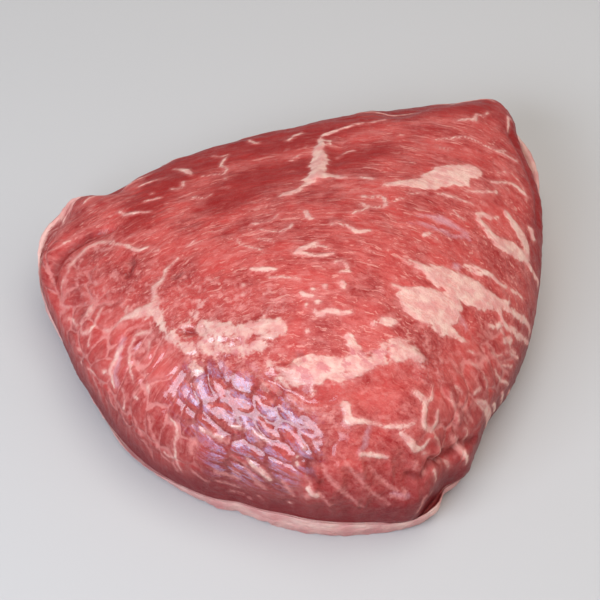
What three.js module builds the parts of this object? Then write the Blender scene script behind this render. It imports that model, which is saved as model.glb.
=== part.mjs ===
// A raw rump cap: a rounded triangle of lean beef, lying on the layer of fat that covers its outer side.
//
// The frame is millimetres, +Z up, +X across the piece and +Y towards its broad back edge, with the
// origin on the table under the middle. The narrow, tall end faces -Y.
//
// Every place on the piece is given by its compass bearing about the crown (0 is +X, 90 is +Y) and by
// how far it lies on the way from the crown down to the line where the lean meets the fat.

import * as THREE from "three";

// Driving dimensions, in millimetres.
const WIDTH = 208; // across, from the left corner to the right side
const HEIGHT = 72; // from the table to the crown
const FAT_THICKNESS = 9; // of the layer of fat under the middle
const SEAM_GAP = 0.3; // kept between the lean and the fat

// Shape in plan, as shares of half the width. Bearings are evenly spaced, starting at +X.
const CROWN = { x: 0.04, y: -0.13 };
const REACH = [
  0.79, 0.87, 1.01, 1.21, 1.3, 1.11, 1, 0.965, 0.965, 1, 1.1, 1.05, 0.9,
  0.815, 0.775, 0.74, 0.72, 0.695, 0.735, 0.765, 0.8, 0.76, 0.715, 0.735,
];

// Shape in height, as shares of the height, at bearings 30 degrees apart: where the lean is widest, and
// the rim, where the lean meets the fat.
const WIDEST = [0.31, 0.37, 0.42, 0.36, 0.36, 0.43, 0.36, 0.28, 0.24, 0.26, 0.29, 0.31];
const RIM = [0.15, 0.27, 0.35, 0.26, 0.27, 0.4, 0.14, 0.04, 0.09, 0.13, 0.09, 0.12];

// The top of the lean is a low table with swells on it: middle and spread as shares of half the width.
const TABLE_TOP = 0.64;
const SWELLS = [
  { x: 0.06, y: -0.23, spreadX: 0.6, spreadY: 0.42, turn: 0, rise: 0.35 }, // the main hump
  { x: 0.6, y: 0.53, spreadX: 0.43, spreadY: 0.4, turn: 20, rise: 0.17 }, // the back right shoulder
];

// How full the side is, as the exponent of a superellipse, and how the rim is made, as shares of the
// fat's thickness: the lean tucks in under its widest line, the fat's cut edge stands out past it, and
// from there the fat draws in to its foot.
const FULLNESS = [2.4, 2.3, 2.3, 2.9, 2.7, 2.1, 2.2, 2.3, 2.4, 2.5, 2.4, 2.4];
const TUCK = [0.2, 0, 0, 0.3, 0.2, 0, 0, 0.05, 0.05, 0.05, 0.1, 0.15];
const LEDGE = [0, 0, 0.05, 0.1, 0.1, 0.15, 0, 0, 0.05, 0.1, 0.12, 0];
const UNDERCUT = [1.2, 1.6, 2.2, 1.8, 1.8, 2.5, 1.8, 0.6, 0.15, 0.1, 0.3, 1];
const FAT_ROUNDING = 0.6; // below 1, the fat's cut edge stands upright before it turns under
const DISH_POWER = 4; // the seam is flat in the middle and turns up only near the rim
const TUCK_FROM = 0.92; // where on the way down the lean starts to turn under

// Folds and lobes: each runs from one place to another (bearing, way down) and sinks or rises by a
// share of the height, fading over its spread, a share of half the width.
const FOLDS = [
  { from: [157, 0.54], to: [176, 0.72], spread: 0.08, rise: -0.05 }, // crease behind the left lobe
  { from: [146, 0.72], to: [142, 0.62], spread: 0.09, rise: -0.03 }, // notch beside it
  { from: [60, 0.66], to: [54, 0.7], spread: 0.14, rise: 0.04 }, // knob at the back right corner
  { from: [98, 0.42], to: [60, 0.36], spread: 0.14, rise: -0.03 }, // trough along the back
  { from: [294, 0.7], to: [312, 0.74], spread: 0.08, rise: -0.05 }, // fold at the front right
  { from: [282, 0.5], to: [302, 0.52], spread: 0.16, rise: 0.05 }, // bulge above that fold
  { from: [228, 0.5], to: [262, 0.5], spread: 0.22, rise: 0.04 }, // swell of the front face
  { from: [62, 0.74], to: [70, 0.62], spread: 0.07, rise: -0.08 }, // dip behind the knob
  { from: [52, 0.82], to: [56, 0.8], spread: 0.05, rise: 0.03 }, // the knob's tip
  { from: [139, 0.9], to: [141, 0.8], spread: 0.05, rise: -0.05 }, // nick behind the left corner
];

// Mesh: each solid is a globe of rings and sides, shared out between its stretches.
const SIDES = 72;
const RINGS = 32;
const SEAM_SHARE = 8 / RINGS; // the rings that lie on the seam, the same in both solids
const LEDGE_UNTIL = 11 / RINGS; // the fat's rings from the seam to here make its cut edge
const FOOT_FROM = 27 / RINGS; // and from here they make its flat underside

const HALF = WIDTH / 2;

// A value listed at even bearings, read anywhere between them along a smooth closed curve.
function around(values, bearing) {
  const count = values.length;
  const along = (bearing / 360) * count;
  const first = Math.floor(along);
  const t = along - first;
  const [a, b, c, d] = [-1, 0, 1, 2].map(
    (step) => values[(first + step + count) % count],
  );
  return (
    b + 0.5 * t * (c - a + t * (2 * a - 5 * b + 4 * c - d + t * (3 * (b - c) + d - a)))
  );
}

// A point at that distance from the crown and that height.
function place(bearing, distance, height) {
  const angle = THREE.MathUtils.degToRad(bearing);
  return new THREE.Vector3(
    CROWN.x * HALF + distance * Math.cos(angle),
    CROWN.y * HALF + distance * Math.sin(angle),
    height,
  );
}

function topHeight(x, y) {
  let share = TABLE_TOP;
  for (const swell of SWELLS) {
    const away = new THREE.Vector2(x / HALF - swell.x, y / HALF - swell.y);
    away.rotateAround(new THREE.Vector2(), -THREE.MathUtils.degToRad(swell.turn));
    const far = (away.x / swell.spreadX) ** 2 + (away.y / swell.spreadY) ** 2;
    share += swell.rise * Math.exp(-far / 2);
  }
  return share * HEIGHT;
}

const seamReach = (bearing) =>
  around(REACH, bearing) * HALF - around(TUCK, bearing) * FAT_THICKNESS;

// The seam between lean and fat, from the middle (0) to the rim (1), drawn closer near the rim.
function seam(bearing, way) {
  const out = Math.sin((Math.PI / 2) * way);
  const rim = around(RIM, bearing) * HEIGHT;
  const height = FAT_THICKNESS + (rim - FAT_THICKNESS) * out ** DISH_POWER;
  return place(bearing, seamReach(bearing) * out, height);
}

// The lean's skin before its folds, from the crown (0) to the rim (1).
function plainSkin(bearing, down) {
  const fullness = around(FULLNESS, bearing);
  const widest = around(WIDEST, bearing) * HEIGHT;
  const rim = around(RIM, bearing) * HEIGHT;
  const angle = (Math.PI / 2) * (1 - Math.min(down / TUCK_FROM, 1));
  const [out, up] = [Math.cos(angle), Math.sin(angle)];
  const length = (out ** fullness + up ** fullness) ** (-1 / fullness);
  const under = (Math.PI / 2) * Math.max(0, (down - TUCK_FROM) / (1 - TUCK_FROM));
  const tucked = around(TUCK, bearing) * FAT_THICKNESS * (1 - Math.cos(under));
  const point = place(bearing, around(REACH, bearing) * HALF * out * length - tucked, 0);
  point.z =
    widest +
    (topHeight(point.x, point.y) - widest) * up * length -
    (widest - rim) * Math.sin(under);
  return point;
}

// How much the folds lift the skin at a point, in millimetres.
function foldLift(point) {
  let lift = 0;
  for (const fold of FOLDS) {
    const line = new THREE.Line3(plainSkin(...fold.from), plainSkin(...fold.to));
    const nearest = line.closestPointToPoint(point, true, new THREE.Vector3());
    const far = nearest.distanceTo(point) / (fold.spread * HALF);
    lift += fold.rise * HEIGHT * Math.exp((-far * far) / 2);
  }
  return lift;
}

// The lean's skin with its folds, which fade out where it turns under.
function skin(bearing, down) {
  const point = plainSkin(bearing, down);
  const heart = new THREE.Vector3(CROWN.x * HALF, CROWN.y * HALF, FAT_THICKNESS);
  const outwards = point.clone().sub(heart).normalize();
  const fade = 1 - THREE.MathUtils.smoothstep(down, TUCK_FROM - 0.1, 1);
  return point.addScaledVector(outwards, foldLift(point) * fade);
}

// The fat's outer side, from its cut edge (0) to its foot on the table (1).
function fatSide(bearing, down) {
  const rim = around(RIM, bearing) * HEIGHT;
  const top = seamReach(bearing) + around(LEDGE, bearing) * FAT_THICKNESS;
  const foot = top - around(UNDERCUT, bearing) * FAT_THICKNESS;
  const angle = (Math.PI / 2) * down;
  const distance = foot + (top - foot) * Math.cos(angle) ** FAT_ROUNDING;
  return place(bearing, down < 1 ? distance : foot, rim * (1 - Math.sin(angle)));
}

// The whole lean, from the crown (0) over its side and back along the seam to the middle (1).
function leanPlace(bearing, way) {
  const under = 1 - SEAM_SHARE;
  const point = way < under ? skin(bearing, way / under) : seam(bearing, (1 - way) / SEAM_SHARE);
  point.z += SEAM_GAP;
  return point;
}

// The whole fat, from the middle of the seam (0) out over its cut edge and under to the middle (1).
function fatPlace(bearing, way) {
  if (way <= SEAM_SHARE) return seam(bearing, way / SEAM_SHARE);
  const edge = fatSide(bearing, 0);
  if (way < LEDGE_UNTIL) {
    return seam(bearing, 1).lerp(edge, (way - SEAM_SHARE) / (LEDGE_UNTIL - SEAM_SHARE));
  }
  const down = (way - LEDGE_UNTIL) / (FOOT_FROM - LEDGE_UNTIL);
  if (down <= 1) return fatSide(bearing, down);
  return fatSide(bearing, 1).lerp(place(0, 0, 0), (way - FOOT_FROM) / (1 - FOOT_FROM));
}

// A globe whose points are moved to where the rule says, from its top pole to its bottom one.
function solid(name, rule, look) {
  const geometry = new THREE.SphereGeometry(1, SIDES, RINGS);
  const { position, uv } = geometry.attributes;
  for (let i = 0; i < position.count; i += 1) {
    const way = 1 - uv.getY(i);
    const atPole = way === 0 || way === 1;
    const point = rule(atPole ? 0 : (uv.getX(i) % 1) * 360, way);
    position.setXYZ(i, point.x, point.y, point.z);
  }
  geometry.computeVertexNormals();
  const mesh = new THREE.Mesh(geometry, new THREE.MeshStandardMaterial(look));
  mesh.name = name;
  return mesh;
}

// Brings the piece to its driving width and height, with its middle over the origin.
function bringToSize(group) {
  const box = new THREE.Box3().setFromObject(group);
  const middle = box.getCenter(new THREE.Vector3());
  const across = WIDTH / (box.max.x - box.min.x);
  const up = HEIGHT / (box.max.z - box.min.z);
  group.scale.set(across, across, up);
  group.position.set(-middle.x * across, -middle.y * across, -box.min.z * up);
  return group;
}

const rumpCap = new THREE.Group();
rumpCap.name = "rump_cap";
rumpCap.add(
  solid("lean", leanPlace, { color: 0xb5504c, roughness: 0.42, metalness: 0 }),
  solid("fat_cap", fatPlace, { color: 0xe2b3a6, roughness: 0.5, metalness: 0 }),
);

export default bringToSize(rumpCap);
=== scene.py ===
import math
from functools import reduce

import bpy
import numpy as np
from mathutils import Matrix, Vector


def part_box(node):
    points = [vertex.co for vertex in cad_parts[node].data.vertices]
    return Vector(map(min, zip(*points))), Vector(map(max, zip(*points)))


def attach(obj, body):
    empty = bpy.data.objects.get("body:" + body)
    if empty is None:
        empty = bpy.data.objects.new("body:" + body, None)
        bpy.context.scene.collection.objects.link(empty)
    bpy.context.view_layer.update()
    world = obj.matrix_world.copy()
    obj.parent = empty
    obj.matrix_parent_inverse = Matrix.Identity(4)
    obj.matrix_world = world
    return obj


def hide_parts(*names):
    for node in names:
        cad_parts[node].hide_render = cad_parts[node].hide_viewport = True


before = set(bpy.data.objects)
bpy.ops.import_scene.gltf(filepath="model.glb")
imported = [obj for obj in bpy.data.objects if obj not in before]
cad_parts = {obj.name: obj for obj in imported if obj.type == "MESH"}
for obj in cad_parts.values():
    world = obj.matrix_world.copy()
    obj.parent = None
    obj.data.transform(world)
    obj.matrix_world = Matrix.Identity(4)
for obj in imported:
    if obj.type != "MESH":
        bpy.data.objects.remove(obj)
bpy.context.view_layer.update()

# One rump cap: a dome of lean on a cap of fat. A place on it is a bearing round the
# crown, in degrees, and a share of the way from the crown down to the seam.
form = {
    "half": 104,              # mm, half the length
    "height": 72,             # mm
    "fat": 9,                 # mm, the cap's thickness under the middle
    "gap": 0.3,               # mm between the two solids
    "crown": (0.04, -0.13),   # x half
    "tableTop": 0.64,         # x height
    "tuckFrom": 0.92,         # share where the side starts to turn under
    "dishPower": 4,
    "innermost": 0.12,        # share where the rings under the lean end
    "fatRounding": 0.6,
    # x half, every 15 degrees
    "reach": (0.79, 0.87, 1.01, 1.21, 1.3, 1.11, 1, 0.965, 0.965, 1, 1.1, 1.05,
              0.9, 0.815, 0.775, 0.74, 0.72, 0.695, 0.735, 0.765, 0.8, 0.76, 0.715, 0.735),
    # the rest every 30 degrees: heights x height, setbacks x fat
    "widest": (0.31, 0.37, 0.42, 0.36, 0.36, 0.43, 0.36, 0.28, 0.24, 0.26, 0.29, 0.31),
    "rim": (0.15, 0.27, 0.35, 0.26, 0.27, 0.4, 0.14, 0.04, 0.09, 0.13, 0.09, 0.12),
    "fullness": (2.4, 2.3, 2.3, 2.9, 2.7, 2.1, 2.2, 2.3, 2.4, 2.5, 2.4, 2.4),
    "tuck": (0.2, 0, 0, 0.3, 0.2, 0, 0, 0.05, 0.05, 0.05, 0.1, 0.15),
    "ledge": (0, 0, 0.05, 0.1, 0.1, 0.15, 0, 0, 0.05, 0.1, 0.12, 0),
    "undercut": (1.2, 1.6, 2.2, 1.8, 1.8, 2.5, 1.8, 0.6, 0.15, 0.1, 0.3, 1),
    # swells of the top: x, y, spread x, spread y (x half), turn, rise (x height)
    "swells": ((0.06, -0.23, 0.6, 0.42, 0, 0.35), (0.6, 0.53, 0.43, 0.4, 20, 0.17)),
    # broad folds: from, to, spread (x half), rise (x height)
    "folds": (((157, 0.54), (176, 0.72), 0.08, -0.05), ((146, 0.72), (142, 0.62), 0.09, -0.03),
              ((60, 0.66), (54, 0.7), 0.14, 0.04), ((98, 0.42), (60, 0.36), 0.14, -0.03),
              ((294, 0.7), (312, 0.74), 0.08, -0.05), ((282, 0.5), (302, 0.52), 0.16, 0.05),
              ((228, 0.5), (262, 0.5), 0.22, 0.04), ((62, 0.74), (70, 0.62), 0.07, -0.08),
              ((52, 0.82), (56, 0.8), 0.05, 0.03), ((139, 0.9), (141, 0.8), 0.05, -0.05)),
    # how far the lean hangs out over the fat, or draws back from it: bearing, spread, mm
    "over": ((60, 16, 1.5), (90, 16, 1.5), (118, 14, 1.5), (154, 5, -4.2), (184, 12, 1.6), (208, 8, -0.8),
             (294, 4.5, 2.2), (303, 3.5, -2.4), (318, 5, 2.4), (346, 10, 1.4), (12, 14, 1.6), (43, 5.5, -4.4)),
    # smaller ins and outs of the whole outline: bearing, spread, mm
    "coast": ((57, 3, 1), (72, 4, 0.8), (146, 2.4, 2.4), (141, 1.6, -1.6), (308.5, 2.5, -3), (247, 2.5, -0.4),
              (33, 3, 0.8), (49.5, 4, -2), (66, 4, -2.2), (131, 3, -1.2), (151, 3, -1.8), (174, 4, -0.4),
              (256, 4, 1.4), (320, 3, -1.2)),
    # shares between which the lean swells out over the fat, comes in again, draws back and follows the coast
    "overSwell": (0.74, 0.95),
    "overEnd": (0.965, 1),
    "drawBack": (0.5, 0.9),
    "coastFrom": (0.4, 0.85),
}
crown = np.array(form["crown"]) * form["half"]


def smoothStep(x, low, high):
    # 0 below low, 1 above high, an S curve between
    t = np.clip((np.asarray(x, float) - low) / (high - low), 0, 1)
    return t * t * (3 - 2 * t)


def spline(a, b, c, d, f):
    # the smooth curve from b to c, with a before and d after them
    return b + 0.5 * f * (c - a + f * (2 * a - 5 * b + 4 * c - d + f * (3 * (b - c) + d - a)))


def around(values, bearing):
    # a smooth closed curve through values spaced evenly round the circle
    values = np.asarray(values, float)
    t = np.asarray(bearing, float) / 360 * len(values)
    i = np.floor(t).astype(int)
    return spline(*(values[(i + k) % len(values)] for k in (-1, 0, 1, 2)), t - i)


def outward(bearing, dist, z):
    # dist from the crown along a bearing, at height z
    angle = np.radians(bearing)
    x = crown[0] + dist * np.cos(angle)
    y = crown[1] + dist * np.sin(angle)
    return np.stack(np.broadcast_arrays(x, y, z), -1)


def topHeight(x, y):
    # a table height plus one bell for each swell
    share = np.full(np.shape(x), form["tableTop"])
    for cx, cy, spreadX, spreadY, turn, rise in form["swells"]:
        angle = math.radians(turn)
        dx, dy = x / form["half"] - cx, y / form["half"] - cy
        u = dx * math.cos(angle) + dy * math.sin(angle)
        v = dy * math.cos(angle) - dx * math.sin(angle)
        share = share + rise * np.exp(-0.5 * ((u / spreadX) ** 2 + (v / spreadY) ** 2))
    return share * form["height"]


def plainSkin(bearing, share):
    # a superellipse from the crown down to the widest line, then a quarter turn in to the seam
    bearing, share = np.broadcast_arrays(np.asarray(bearing, float), np.asarray(share, float))
    full = around(form["fullness"], bearing)
    widest = around(form["widest"], bearing) * form["height"]
    rim = around(form["rim"], bearing) * form["height"]
    angle = np.pi / 2 * (1 - np.minimum(share / form["tuckFrom"], 1))
    out, up = np.cos(angle), np.sin(angle)
    length = (out ** full + np.maximum(up, 0) ** full) ** (-1 / full)
    under = np.pi / 2 * np.maximum(0, (share - form["tuckFrom"]) / (1 - form["tuckFrom"]))
    tuck = around(form["tuck"], bearing) * form["fat"]
    dist = around(form["reach"], bearing) * form["half"] * out * length - tuck * (1 - np.cos(under))
    flat = outward(bearing, dist, 0)
    top = topHeight(flat[..., 0], flat[..., 1])
    flat[..., 2] = widest + (top - widest) * up * length - (widest - rim) * np.sin(under)
    return flat


def rawSkin(bearing, share):
    # the plain skin pushed out from the heart of the piece along each broad fold
    spots = plainSkin(bearing, share)
    rise = np.zeros(spots.shape[:-1])
    for start, end, spread, height in form["folds"]:
        a, b = plainSkin(*start), plainSkin(*end)
        along = np.clip(((spots - a) @ (b - a)) / ((b - a) @ (b - a)), 0, 1)
        gap = np.linalg.norm(spots - a - along[..., None] * (b - a), axis=-1)
        rise += height * form["height"] * np.exp(-0.5 * (gap / (spread * form["half"])) ** 2)
    away = spots - np.array([crown[0], crown[1], form["fat"]])
    away /= np.linalg.norm(away, axis=-1, keepdims=True)
    fade = 1 - smoothStep(share, form["tuckFrom"] - 0.1, 1)
    return spots + away * (rise * fade)[..., None]


# the CAD box of the lean says how the raw form was brought to size
bearingGrid, shareGrid = np.meshgrid(np.arange(0, 360, 2.5), np.linspace(0, 1, 65), indexing="ij")
rawLean = rawSkin(bearingGrid, shareGrid).reshape(-1, 3)
leanBox = np.array(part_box("lean")) * 1000
stretch = (leanBox[1] - leanBox[0]) / (rawLean.max(0) - rawLean.min(0))
shift = leanBox[0] - rawLean.min(0) * stretch
stretch[2] = (leanBox[1][2] - form["gap"]) / rawLean[:, 2].max()
shift[2] = form["gap"]
print("stretch", stretch.round(4), "shift mm", shift.round(2))


def bells(bearing, items):
    # one bell for each item, round the circle
    total = 0
    for centre, spread, height in items:
        gap = (bearing - centre + 180) % 360 - 180
        total = total + height * np.exp(-0.5 * (gap / spread) ** 2)
    return total


def skin(bearing, share):
    # the lean's skin in the frame, in mm; where it hangs over the fat it turns back in to the seam
    over = bells(bearing, form["over"])
    swell = smoothStep(share, *form["overSwell"]) * (1 - smoothStep(share, *form["overEnd"]))
    over = over * np.where(over > 0, swell, smoothStep(share, *form["drawBack"]))
    over = over + bells(bearing, form["coast"]) * smoothStep(share, *form["coastFrom"])
    away = outward(bearing, over, 0) - outward(bearing, 0, 0)
    return rawSkin(bearing, share) * stretch + shift + away


def plainEdge(bearing):
    # how far out the seam would lie if the lean met the fat everywhere
    edge = around(form["reach"], bearing) * form["half"] - around(form["tuck"], bearing) * form["fat"]
    return edge + bells(bearing, form["coast"]) / stretch[0]


def seamEdge(bearing):
    # how far out the seam lies, drawn in where the lean draws back
    return plainEdge(bearing) + np.minimum(bells(bearing, form["over"]), 0) / stretch[0]


def dishedSeam(bearing, out):
    # the seam between lean and fat in the raw form: flat in the middle, rising to the rim
    rim = around(form["rim"], bearing) * form["height"]
    z = form["fat"] + (rim - form["fat"]) * out ** form["dishPower"]
    return outward(bearing, seamEdge(bearing) * out, z)


def lumps(spots, size, seed, lattice=32):
    # smooth noise from -1 to 1: random values on a lattice of cells, blended between its corners
    values = np.random.default_rng(seed).uniform(-1, 1, (lattice,) * 3)
    p = spots / np.asarray(size, float) + 1000
    i = np.floor(p).astype(int)
    f = p - i
    f = f * f * (3 - 2 * f)
    total = 0
    for corner in np.ndindex(2, 2, 2):
        weight = np.where(corner, f, 1 - f).prod(1)
        total = total + weight * values[tuple(((i + corner) % lattice).T)]
    return total


def cellBorders(u, v, seed, lattice=64):
    # 0 on the border between two cells: the gap to the second nearest seed less that to the nearest
    jitter = np.random.default_rng(seed).uniform(0.1, 0.9, (lattice, lattice, 2))
    iu, iv = np.floor(u).astype(int), np.floor(v).astype(int)
    first = np.full(len(u), 9.0)
    second = first.copy()
    for du in (-1, 0, 1):
        for dv in (-1, 0, 1):
            spot = jitter[(iu + du) % lattice, (iv + dv) % lattice]
            gap = np.hypot(u - iu - du - spot[:, 0], v - iv - dv - spot[:, 1])
            second = np.minimum(second, np.maximum(first, gap))
            first = np.minimum(first, gap)
    return second - first


def ridged(spots, size, seed):
    # noise folded over at 0, so that it runs in narrow ridges from -1 up to 1
    return 1 - 2 * np.abs(lumps(spots, size, seed))


def strokeLine(stroke, parts=4):
    # a smooth line over the skin through (bearing, share, half width) stops
    stops = np.array([(s * math.cos(math.radians(b)), s * math.sin(math.radians(b)), w) for b, s, w in stroke])
    if len(stops) == 1:
        stops = np.repeat(stops, 2, 0)
    padded = np.vstack([2 * stops[0] - stops[1], stops, 2 * stops[-1] - stops[-2]])
    f = (np.arange(parts) / parts)[:, None]
    runs = [spline(*four, f) for four in zip(padded[:-3], padded[1:-2], padded[2:-1], padded[3:])]
    line = np.vstack(runs + [stops[-1:]])
    share = np.hypot(line[:, 0], line[:, 1])
    bearing = np.degrees(np.arctan2(line[:, 1], line[:, 0]))
    return skin(bearing, np.minimum(share, 1)), line[:, 2]


def closeTo(spots, line, reach):
    # which spots lie within reach of the box round a line
    return np.nonzero(((spots > line.min(0) - reach) & (spots < line.max(0) + reach)).all(1))[0]


def lineGaps(spots, line, width):
    # for each part of a line in turn, the distance to it and the line's width there
    for p, q, widthP, widthQ in zip(line[:-1], line[1:], width[:-1], width[1:]):
        run = q - p
        along = np.clip(((spots - p) @ run) / max(run @ run, 1e-9), 0, 1)
        yield np.linalg.norm(spots - p - along[:, None] * run, axis=1), widthP + (widthQ - widthP) * along


def strokeField(spots, strokes, reach=4.0):
    # mm inside the nearest stroke: half width less the distance to its line, never below -reach
    field = np.full(len(spots), -float(reach))
    for line, half in map(strokeLine, strokes):
        near = closeTo(spots, line, reach + half.max())
        for gap, width in lineGaps(spots[near], line, half):
            field[near] = np.maximum(field[near], width - gap)
    return field


def ridges(spots, lines):
    # the sum of bells across each line: height x exp(-(distance / spread)^2 / 2)
    total = np.zeros(len(spots))
    for height, stroke in lines:
        line, spread = strokeLine(stroke)
        near = closeTo(spots, line, 3.5 * spread.max())
        best = np.zeros(len(near))
        for gap, width in lineGaps(spots[near], line, spread):
            best = np.maximum(best, np.exp(-0.5 * (gap / width) ** 2))
        total[near] += height * best
    return total


def gridNormals(grid):
    # the cross product of the steps along the two grid directions
    n = np.cross(np.gradient(grid, axis=0), np.gradient(grid, axis=1))
    return n / np.maximum(np.linalg.norm(n, axis=-1, keepdims=True), 1e-9)


def makeMesh(name, spots, faces, attributes):
    # spots in mm become a mesh in metres; attributes are one number or one vector for each spot
    mesh = bpy.data.meshes.new(name)
    mesh.from_pydata((spots / 1000).tolist(), [], faces)
    for key, values in attributes.items():
        kind, slot = ("FLOAT", "value") if values.ndim == 1 else ("FLOAT_VECTOR", "vector")
        mesh.attributes.new(key, kind, "POINT").data.foreach_set(slot, values.ravel())
    mesh.polygons.foreach_set("use_smooth", np.ones(len(mesh.polygons), bool))
    mesh.validate()
    mesh.update()
    piece = bpy.data.objects.new(name, mesh)
    bpy.context.scene.collection.objects.link(piece)
    return piece


lean = {
    "cells": 296,              # across the square that is laid onto the dome
    "underRings": 8,
    "fatRise": 0.38,           # mm the seams of fat stand proud
    "fibreRise": 0.24,
    "fibreCentre": (5, -150),  # mm, the point in front that the fibres of the top run round
    "fibreRadius": 150,
    "sideLength": 75,          # mm from the crown down a side
    "lumpRise": 0.6,
    "cellSize": (15, 7.5),     # mm down and across a bundle
    "cellDepth": 0.7,
    "cellBend": 3.4,           # mm the bundles wander
    "wrinkleRise": 0.4,
    "wrinkleSize": (15, 4.4),
    "wrinkleSlant": 0.2,
    "foldRise": 0.8,
    "foldSize": (16, 4.2, 5),
    "darkDepth": 0.6,
    "strokeBend": 0.6,         # mm the strokes wander
    "strokeMore": 0.05,        # mm the thin seams are wider than their strokes
    "bundleLess": 0.35,        # mm they are thinner between the bundles
    "crownMore": 0.3,
    "patchMore": 0.15,
    # mm inside the line, from nothing to the full effect
    "fatSlope": (-0.9, 1.2),
    "darkSlope": (-1.6, 0.8),
    "zoneEdge": (-8, 4),
    "zoneReach": 12,
    "bundleFlat": 0.8,         # share of its rise the fat loses between the bundles
}

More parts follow.
